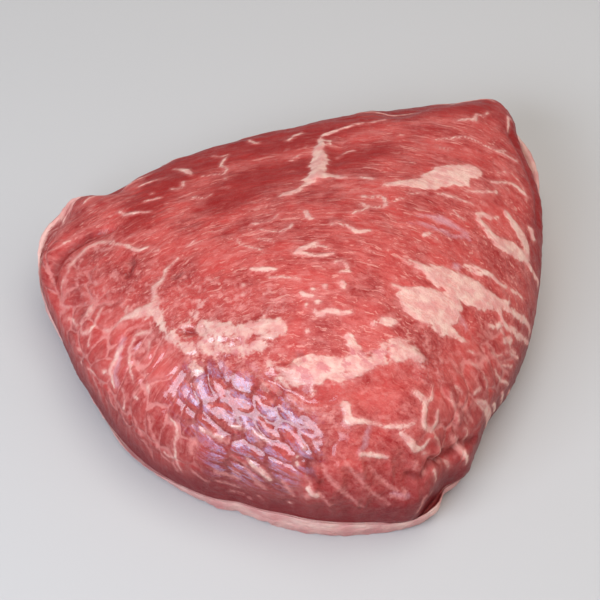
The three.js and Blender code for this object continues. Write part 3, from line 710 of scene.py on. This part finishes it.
def buildFat():
    # rings from the middle of the dish out over the ledge, round the cut edge and in along the underside
    sides, seamRings = fatCap["sides"], fatCap["seamRings"]
    bearing = np.arange(sides) * 360 / sides
    rim = around(form["rim"], bearing) * form["height"]
    edge = seamEdge(bearing)
    top = np.maximum(plainEdge(bearing) + around(form["ledge"], bearing) * form["fat"], edge + 0.1)
    foot = top - around(form["undercut"], bearing) * form["fat"]
    lipUp = bells(bearing, [(b, s, h) for b, s, h, w in fatCap["lips"]])
    lipOut = bells(bearing, [(b, s, w) for b, s, h, w in fatCap["lips"]])
    nick = bells(bearing, fatCap["nicks"])
    rings = [dishedSeam(bearing, out) for out in np.linspace(form["innermost"], 1, seamRings)]
    for q in np.linspace(0, 1, fatCap["ledgeRings"] + 1)[1:]:
        rings.append(outward(bearing, edge + (top + lipOut - edge) * q, rim + lipUp * smoothStep(q, 0.3, 0.85)))
    for r in np.linspace(0, 1, fatCap["sideRings"] + 1)[1:]:
        angle = np.pi / 2 * r
        dist = foot + (top - foot) * max(math.cos(angle), 0) ** form["fatRounding"]
        dist = dist + lipOut * (1 - smoothStep(r, 0.1, 0.7)) - nick * smoothStep(r, 0.45, 1)
        rings.append(outward(bearing, dist, (rim + lipUp) * (1 - math.sin(angle))))
    rings += [outward(bearing, (foot - nick) * share, 0) for share in fatCap["underShares"]]
    grid = np.array(rings) * stretch + (shift[0], shift[1], 0)      # ring, side, xyz
    closed = np.concatenate([grid[:, -1:], grid, grid[:, :1]], 1)
    normal = gridNormals(closed)[:, 1:-1].reshape(-1, 3)
    flat = grid.reshape(-1, 3)
    count = len(rings)
    level = np.arange(count)
    fade = smoothStep(level, seamRings + 1, seamRings + fatCap["ledgeRings"])
    fade = fade * (1 - smoothStep(level, count - 9, count - 7))
    rough = fatCap["lumpRise"] * (0.7 * lumps(flat, (12, 12, 6), 11) + 0.35 * lumps(flat, (3.5, 3.5, 2), 12))
    rough += fatCap["raggedness"] * 0.35 * lumps(flat, (1.8, 1.8, 1.2), 13)
    flat = flat + normal * (rough * np.repeat(fade, sides))[:, None]
    flat[:, 2] = np.maximum(flat[:, 2], 0)
    index = np.arange(len(flat)).reshape(count, sides)
    inner, outer = index[:-1], index[1:]
    faces = np.stack([inner, outer, np.roll(outer, -1, 1), np.roll(inner, -1, 1)], -1).reshape(-1, 4)
    allFaces = faces.tolist() + [index[0].tolist(), index[-1][::-1].tolist()]
    print("fat cap", len(flat), "spots")

    hollow = np.minimum(bells(bearing, fatCap["hollows"]), 1)
    down = np.repeat(level, sides) / count
    return makeMesh("FatCap", flat, allFaces, {
        "layer": np.clip(flat[:, 2] / np.tile(rim, count), 0, 1.2),
        "inner": np.outer(1 - smoothStep(level, seamRings + 4, seamRings + 8), hollow).ravel(),
        "grain": np.stack([np.tile(np.radians(bearing) * 90, count), flat[:, 2], down * 40], -1)})


fatPiece = buildFat()


def addNode(kind, links=None, tree=None, **settings):
    # a node in the tree of the sockets that feed it; inputs without a socket take a plain value
    links = links or {}
    if tree is None:
        tree = next(value for value in links.values() if isinstance(value, bpy.types.NodeSocket)).id_data
    node = tree.nodes.new(kind)
    for key, value in settings.items():
        setattr(node, key, value)
    for key, value in links.items():
        if isinstance(value, bpy.types.NodeSocket):
            tree.links.new(value, node.inputs[key])
        else:
            node.inputs[key].default_value = value
    return node


def maths(operation, *values):
    # the values joined two by two from the left
    return reduce(lambda a, b: addNode("ShaderNodeMath", {0: a, 1: b}, operation=operation).outputs[0], values)


def times(*values):
    return maths("MULTIPLY", *values)


def plus(*values):
    return maths("ADD", *values)


def fromHalf(value):
    return addNode("ShaderNodeMath", {0: maths("SUBTRACT", value, 0.5)}, operation="ABSOLUTE").outputs[0]


def vectorMaths(operation, a, b):
    return addNode("ShaderNodeVectorMath", {0: a, 1: b}, operation=operation).outputs[0]


def remap(value, low, high, toLow=0.0, toHigh=1.0, kind="SMOOTHSTEP"):
    return addNode("ShaderNodeMapRange", {"Value": value, "From Min": low, "From Max": high, "To Min": toLow,
                                          "To Max": toHigh}, interpolation_type=kind).outputs["Result"]


def linear(value, low, high, toLow, toHigh):
    return remap(value, low, high, toLow, toHigh, "LINEAR")


def between(share, start, end):
    # start where the share is 0, end where it is 1
    return linear(share, 0.0, 1.0, start, end)


def blendValue(share, a, b):
    return addNode("ShaderNodeMix", {0: share, 2: a, 3: b}, data_type="FLOAT").outputs[0]


def blendColour(share, a, b):
    return addNode("ShaderNodeMix", {0: share, 6: a, 7: b}, data_type="RGBA").outputs[2]


def attribute(tree, name, output="Fac"):
    return addNode("ShaderNodeAttribute", tree=tree, attribute_name=name, attribute_type="GEOMETRY").outputs[output]


def stretchedNoise(vector, scale, detail=4.0, roughness=0.55, distortion=0.0):
    # noise in a space squeezed by scale along each of its three directions, or alike along all of them
    scale = (scale,) * 3 if isinstance(scale, float) else scale
    place = addNode("ShaderNodeMapping", {"Vector": vector, "Scale": scale}).outputs[0]
    return addNode("ShaderNodeTexNoise", {"Vector": place, "Scale": 1.0, "Detail": detail, "Roughness": roughness,
                                          "Distortion": distortion}).outputs["Fac"]


def colour(*screen):
    # a screen colour of 0 to 255 as linear light
    shares = [c / 255 for c in screen]
    return (*(c / 12.92 if c <= 0.04045 else ((c + 0.055) / 1.055) ** 2.4 for c in shares), 1.0)


def newGroup(name, inputs, outputs):
    # an input is a colour, a number or, where it is None, a vector; the outputs are kinds of socket
    group = bpy.data.node_groups.new(name, "ShaderNodeTree")
    for label, default in inputs.items():
        kind = "Vector" if default is None else "Color" if isinstance(default, tuple) else "Float"
        socket = group.interface.new_socket(name=label, in_out="INPUT", socket_type="NodeSocket" + kind)
        if default is not None:
            socket.default_value = default
    for label, kind in outputs.items():
        group.interface.new_socket(name=label, in_out="OUTPUT", socket_type="NodeSocket" + kind)
    return group, group.nodes.new("NodeGroupInput").outputs, group.nodes.new("NodeGroupOutput").inputs


def fibreGroup():
    # streaks along the first direction, bent by a slow drift, with finer ones in them; pale flecks
    # where the fine streaks run high; bands are the broad ones alone
    group, given, out = newGroup(
        "fibreStreaks", {"Vector": None, "Length": 12.0, "Width": 1.4, "Fleck Level": 0.62},
        {"Streaks": "Float", "Flecks": "Float", "Bands": "Float", "Wisps": "Float"})
    slow = addNode("ShaderNodeTexNoise", {"Vector": given["Vector"], "Scale": 0.14, "Detail": 2.0}).outputs["Color"]
    push = vectorMaths("MULTIPLY", vectorMaths("SUBTRACT", slow, (0.5, 0.5, 0.5)), (8, 4, 4))
    place = vectorMaths("ADD", given["Vector"], push)
    lengthScale, widthScale = (maths("DIVIDE", 1.0, given[name]) for name in ("Length", "Width"))
    scale = addNode("ShaderNodeCombineXYZ", {0: lengthScale, 1: widthScale, 2: widthScale}).outputs[0]

    def noise(along, across, *settings):
        return stretchedNoise(place, vectorMaths("MULTIPLY", scale, (along, across, across)), *settings)

    broad = noise(0.6, 0.3, 3.0, 0.5)
    coarse = stretchedNoise(place, scale, 5.0, 0.62, 0.3)
    fine = noise(2.6, 2.3, 4.0, 0.65, 0.5)
    both = plus(times(plus(times(coarse, 0.6), times(fine, 0.4)), 0.7), times(broad, 0.3))
    high = plus(fine, linear(broad, 0.3, 0.7, -0.05, 0.05))
    # wisps are the long thin spots where a smooth, strongly stretched noise runs high
    wispy = plus(noise(0.75, 1.15, 2.0, 0.45), linear(noise(0.5, 0.2, 2.0, 0.5), 0.3, 0.7, -0.07, 0.07))
    group.links.new(remap(both, 0.37, 0.64), out["Streaks"])
    group.links.new(remap(high, given["Fleck Level"], plus(given["Fleck Level"], 0.08)), out["Flecks"])
    group.links.new(remap(broad, 0.35, 0.65), out["Bands"])
    group.links.new(remap(wispy, 0.61, 0.71), out["Wisps"])
    return group


def mottleGroup():
    # a slow drift between two colours
    group, given, out = newGroup(
        "softMottle", {"Vector": None, "Size": 20.0, "Low": (0, 0, 0, 1), "High": (1, 1, 1, 1)}, {"Color": "Color"})
    noise = addNode("ShaderNodeTexNoise", {"Vector": given["Vector"], "Scale": maths("DIVIDE", 1.0, given["Size"]),
                                           "Detail": 3.0, "Roughness": 0.5}).outputs["Fac"]
    group.links.new(blendColour(remap(noise, 0.33, 0.67), given["Low"], given["High"]), out["Color"])
    return group


fibreStreaks = fibreGroup()
softMottle = mottleGroup()


def fill(group, links):
    # a group in a material, with its own values
    return addNode("ShaderNodeGroup", links, node_tree=group).outputs


def newMaterial(name):
    material = bpy.data.materials.new(name)
    material.use_nodes = True
    return material, material.node_tree.nodes["Principled BSDF"]


def mottle(spots, size, low, high):
    return fill(softMottle, {"Vector": spots, "Size": size, "Low": low, "High": high})["Color"]


def millimetres(tree):
    # object coordinates in mm, and the height among them
    place = addNode("ShaderNodeTexCoord", tree=tree).outputs["Object"]
    spots = vectorMaths("MULTIPLY", place, (1000, 1000, 1000))
    return spots, addNode("ShaderNodeSeparateXYZ", {0: spots}).outputs[2]


def paint(shade, look, layers):
    # each layer's colour over the last one, as much as its mask says
    for amount, tint in layers:
        shade = blendColour(amount, shade, look[tint])
    return shade


def applyLook(shader, look, shade, rough, relief):
    # roughness and bump follow two masks; the rest is the same all over
    bump = addNode("ShaderNodeBump", {"Strength": look["bump"], "Distance": look["bumpDepth"], "Height": relief})
    rough = linear(rough, 0.3, 0.7, *look["roughness"])
    for value, name in ((shade, "Base Color"), (rough, "Roughness"), (bump.outputs[0], "Normal")):
        shader.id_data.links.new(value, shader.inputs[name])
    for name, value in look["allOver"].items():
        shader.inputs[name].default_value = value


meatLook = {
    "deep": colour(152, 28, 28), "mid": colour(196, 66, 60), "pale": colour(222, 116, 106),
    # the deep red of creases and hollows is painted shade
    # the purplish low colour is painted shade, low down and in the creases of the wrinkles
    "fleck": colour(240, 170, 154), "low": colour(106, 16, 26), "hollowShade": colour(108, 10, 12),
    # the bluish lavender colour paints the glare of the moist front
    "red": colour(150, 16, 14), "paintedGlare": colour(184, 180, 224), "net": colour(230, 146, 136),
    # the silvery pink colour is silver skin, partly a painted sheen
    "fatCream": colour(238, 196, 178), "fatPink": colour(224, 158, 148), "silverSkinAndSheen": colour(220, 168, 174),
    "folded": colour(208, 104, 110),
    # how strong the layers are, the pairs on top and between the bundles
    "bands": 0.2, "reds": 0.8, "streaks": (0.56, 0.5), "flecks": 0.45, "borders": 0.7, "creases": 0.4, "paintedGlareShare": 0.42,
    "purple": 0.84, "halo": 0.25, "fat": 0.95,
    "fatEdge": (0.45, 0.65),  # mm the edges of the fat are soft
    "roughness": (0.36, 0.56), "coat": (0.1, 1.0), "bump": 0.6, "bumpDepth": 0.0006,
    "allOver": {"Coat Roughness": 0.11, "Specular IOR Level": 0.2, "Subsurface Weight": 0.05,
                "Subsurface Scale": 0.0015, "Subsurface Radius": (1.0, 0.35, 0.25)},
}


def meatMaterial():
    material, shader = newMaterial("rawLean")
    tree, look = material.node_tree, meatLook
    spots, height = millimetres(tree)
    grain, sideGrain, slant = (attribute(tree, name, "Vector") for name in ("grain", "sideGrain", "slant"))
    bundle, red, speckle, plain, wrinkle, wet, folded, cell, crease = (attribute(tree, name) for name in (
        "bundle", "red", "speckle", "plain", "wrinkle", "wet", "folded", "cell", "crease"))
    seamEdge, patchEdge, silverSkinAndSheenEdge, faintEdge, hollowShadeEdge = (
        attribute(tree, name + "Edge") for name in ("seam", "patch", "silverSkinAndSheen", "faint", "hollowShade"))
    topFibre = fill(fibreStreaks, {"Vector": grain, "Length": 9.0, "Width": 1.3, "Fleck Level": 0.6})
    sideFibre = fill(fibreStreaks, {"Vector": sideGrain, "Length": 9.0, "Width": 1.7, "Fleck Level": 0.61})
    streaks, flecks, bands, wisps = (
        blendValue(bundle, topFibre[name], sideFibre[name]) for name in ("Streaks", "Flecks", "Bands", "Wisps"))
    spotty = stretchedNoise(spots, 0.3, 4.0, 0.6)
    calm = maths("SUBTRACT", 1.0, times(red, look["reds"]))
    sparse = times(calm, between(bundle, 1.0, 0.4), between(plain, 1.0, 0.15))
    upper = times(remap(height, 14.0, 44.0, 0.06, 0.5), remap(wrinkle, 1.0, 0.2, 0.25, 1.0))
    # small pale spots where the lean is marbled all through
    marbled = times(remap(spotty, 0.47, 0.72), times(between(speckle, 0.2, 0.85), calm))
    blotch = remap(stretchedNoise(grain, (0.13, 0.3, 0.3), 3.0, 0.5), 0.52, 0.68, 0.0, 0.28)
    # thin seams between the bundles, broken here and there
    net = times(remap(plus(cell, linear(spotty, 0.3, 0.7, -0.11, 0.11)), 0.15, 0.01), bundle)
    # painted shade: lower down the lean is darker and more purple
    low = times(remap(height, 48.0, 10.0, 0.0, look["purple"]), between(bundle, 1.0, 0.6))

    # edges of the fat run out along the fibres
    ragged = plus(times(stretchedNoise(spots, 0.6, 6.0, 0.7), 0.5),
                  times(stretchedNoise(grain, (0.16, 1.0, 0.8), 5.0, 0.68), 0.5))
    wobble = linear(ragged, 0.2, 0.8, -1.6, 1.6)
    # painted shade in the creases and hollows
    hollowShade = remap(plus(hollowShadeEdge, wobble), -1.8, 1.2, 0.0, 0.6)
    # silver skin streaks, partly a painted sheen
    silverSkinAndSheen = remap(plus(silverSkinAndSheenEdge, wobble), -1.4, 1.4, 0.0, 0.55)
    faint = remap(plus(faintEdge, wobble), -1.2, 1.0, 0.0, 0.6)
    streaky = plus(times(stretchedNoise(spots, 0.3, 2.0, 0.5), 0.35),
                   times(stretchedNoise(grain, (0.06, 0.5, 0.4), 3.0, 0.55), 0.65))
    patchEdge = plus(patchEdge, linear(streaky, 0.25, 0.75, -1.5, 1.5),
                     times(speckle, linear(spotty, 0.25, 0.75, -2.4, 1.6)))
    seamEdge = plus(seamEdge, times(wobble, 0.55))
    soft = plus(between(bundle, *look["fatEdge"]), times(speckle, 0.5))
    fat = maths("MAXIMUM", remap(seamEdge, times(soft, -1.0), soft),
                remap(patchEdge, times(soft, -1.2), times(soft, 1.2)))
    halo = times(remap(maths("MAXIMUM", seamEdge, patchEdge), -1.8, 0.0), look["halo"])

    # painted glare: the moist front gets a bluish highlight painted on the flats between its creases and fine cracks
    crease = plus(crease, linear(ragged, 0.3, 0.7, -0.16, 0.16))
    # painted shade: the creases of the front's wrinkles are darkened with the low colour
    wrinkleShade = times(remap(crease, 0.3, 0.04), wrinkle)
    cracks = remap(fromHalf(stretchedNoise(slant, (0.3, 1.1, 0.8), 4.0, 0.6, 0.4)), 0.0, 0.06)
    flats = remap(stretchedNoise(slant, (0.07, 0.34, 0.34), 4.0, 0.62), 0.45, 0.56)
    paintedGlare = times(remap(crease, 0.06, 0.26), flats, wrinkle, cracks)

    # red threads run through the fat, and its folds are pink
    folds = times(remap(stretchedNoise(slant, (0.1, 0.34, 0.34), 4.0, 0.6), 0.5, 0.58, 0.0, 0.7), folded)
    fatShade = mottle(spots, 4.0, look["fatPink"], look["fatCream"])
    fatShade = paint(fatShade, look, ((times(remap(streaks, 0.7, 0.1), 0.3), "pale"), (folds, "folded")))
    shade = mottle(spots, 14.0, look["mid"], look["deep"])
    shade = paint(shade, look, (
        (times(bands, look["bands"]), "deep"), (times(red, look["reds"]), "red"),
        (times(streaks, between(bundle, *look["streaks"]), calm), "pale"),
        (times(flecks, look["flecks"], sparse), "fleck"), (times(wisps, upper, sparse), "fleck"),
        (marbled, "net"), (times(blotch, calm), "net"), (times(net, look["borders"]), "net"), (low, "low"),
        (hollowShade, "hollowShade"), (silverSkinAndSheen, "silverSkinAndSheen"), (times(wrinkleShade, look["creases"]), "low"),
        (times(paintedGlare, look["paintedGlareShare"]), "paintedGlare"), (faint, "net"), (halo, "net")))
    shade = blendColour(times(fat, look["fat"]), shade, fatShade)

    fine = stretchedNoise(spots, 1.2, 5.0, 0.7)
    relief = plus(times(streaks, 0.5), times(fine, 0.8), times(fat, 0.4), times(fine, speckle, 1.6))
    creased = remap(fromHalf(stretchedNoise(spots, 0.4, 5.0, 0.6, 0.8)), 0.0, 0.06)
    facets = times(stretchedNoise(slant, (0.16, 0.62, 0.62), 5.0, 0.68), 2.6)
    relief = plus(relief, times(plus(creased, facets), wrinkle))
    applyLook(shader, look, shade, stretchedNoise(spots, 0.35), relief)
    moist = between(maths("MAXIMUM", wet, times(speckle, remap(fine, 0.48, 0.56))), *look["coat"])
    tree.links.new(moist, shader.inputs["Coat Weight"])
    return material


fatLook = {
    "cream": colour(238, 198, 182), "pink": colour(220, 156, 148), "blush": colour(200, 116, 110),
    # the low colour is painted shade at the foot of the fat
    "lean": colour(146, 42, 40), "low": colour(166, 86, 88),
    "roughness": (0.38, 0.6), "bump": 0.5, "bumpDepth": 0.0007,
    "allOver": {"Coat Weight": 0.15, "Coat Roughness": 0.2, "Subsurface Weight": 0.1,
                "Subsurface Scale": 0.002, "Subsurface Radius": (1.0, 0.5, 0.4)},
}


def fatMaterial():
    material, shader = newMaterial("rawFat")
    tree = material.node_tree
    spots, height = millimetres(tree)
    fibres = fill(fibreStreaks, {"Vector": attribute(tree, "grain", "Vector"), "Length": 18.0, "Width": 1.8,
                                 "Fleck Level": 0.66})
    inner = plus(attribute(tree, "inner"), between(fibres["Streaks"], -0.15, 0.15))
    shade = mottle(spots, 9.0, fatLook["pink"], fatLook["cream"])
    shade = paint(shade, fatLook, (
        (times(fibres["Streaks"], 0.3), "blush"), (times(fibres["Flecks"], 0.4), "cream"),
        (remap(attribute(tree, "layer"), 0.94, 1.02, 0.0, 0.15), "blush"),
        # painted shade: the fat darkens towards the table
        (remap(height, 9.0, 0.0, 0.0, 0.45), "low"), (remap(inner, 0.35, 0.65), "lean")))
    relief = plus(times(fibres["Streaks"], 0.5), times(stretchedNoise(spots, (1.1, 1.1, 1.4), 4.0, 0.6), 0.6))
    applyLook(shader, fatLook, shade, stretchedNoise(spots, 0.5), relief)
    return material


leanPiece.data.materials.append(meatMaterial())
fatPiece.data.materials.append(fatMaterial())
for piece, node, slotName in ((leanPiece, "lean", "lean"), (fatPiece, "fat_cap", "fat")):
    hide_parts(node)
    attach(piece, "root")
print("materials done")

studio = {
    "floor": colour(190, 187, 183), "floorRoughness": 0.85,
    "floorHalf": 3,        # m
    "world": (0.9, 0.93, 1.0, 1.0), "worldStrength": 0.3,
    # place, size in m, watts, tint
    "lights": (((-0.5, -0.62, 0.62), (0.8, 0.4), 9.2, (0.74, 0.83, 1.0)),
               ((0.1, 0.12, 1.15), (0.9, 0.9), 7.2, (1.0, 0.97, 0.94)),
               ((0.65, -0.35, 0.8), (0.9, 0.9), 3.2, (1.0, 0.96, 0.92))),
    "target": (0.003, -0.0059, 0.026),
    "elevation": 50,       # degrees up from the floor
    "distance": 0.76,      # m from the target to the camera
    "frameWidth": 0.242,   # m across the picture at the target
    "sensor": 36,          # mm
}


def buildStudio():
    scene = bpy.context.scene
    mesh = bpy.data.meshes.new("Floor")
    r = studio["floorHalf"]
    mesh.from_pydata([(-r, -r, 0), (r, -r, 0), (r, r, 0), (-r, r, 0)], [], [(0, 1, 2, 3)])
    floor = bpy.data.objects.new("Floor", mesh)
    scene.collection.objects.link(floor)
    material, shader = newMaterial("paleFloor")
    shader.inputs["Base Color"].default_value = studio["floor"]
    shader.inputs["Roughness"].default_value = studio["floorRoughness"]
    mesh.materials.append(material)
    world = bpy.data.worlds.new("Studio")
    world.use_nodes = True
    background = world.node_tree.nodes["Background"].inputs
    background[0].default_value, background[1].default_value = studio["world"], studio["worldStrength"]
    scene.world = world
    target = Vector(studio["target"])
    for number, (place, size, watts, tint) in enumerate(studio["lights"], 1):
        light = bpy.data.lights.new(f"Softbox{number}", "AREA")
        light.shape = "RECTANGLE"
        light.size, light.size_y, light.energy, light.color = *size, watts, tint
        holder = bpy.data.objects.new(light.name, light)
        holder.location = place
        holder.rotation_euler = (target - Vector(place)).to_track_quat("-Z", "Y").to_euler()
        scene.collection.objects.link(holder)
    data = bpy.data.cameras.new("Camera")
    data.sensor_width = studio["sensor"]
    data.lens = studio["sensor"] * studio["distance"] / studio["frameWidth"]
    camera = bpy.data.objects.new("Camera", data)
    angle = math.radians(studio["elevation"])
    camera.location = target + Vector((0, -math.cos(angle), math.sin(angle))) * studio["distance"]
    camera.rotation_euler = (target - camera.location).to_track_quat("-Z", "Y").to_euler()
    scene.collection.objects.link(camera)
    scene.camera = camera
    scene.view_settings.view_transform = "Standard"


buildStudio()
print("studio done")
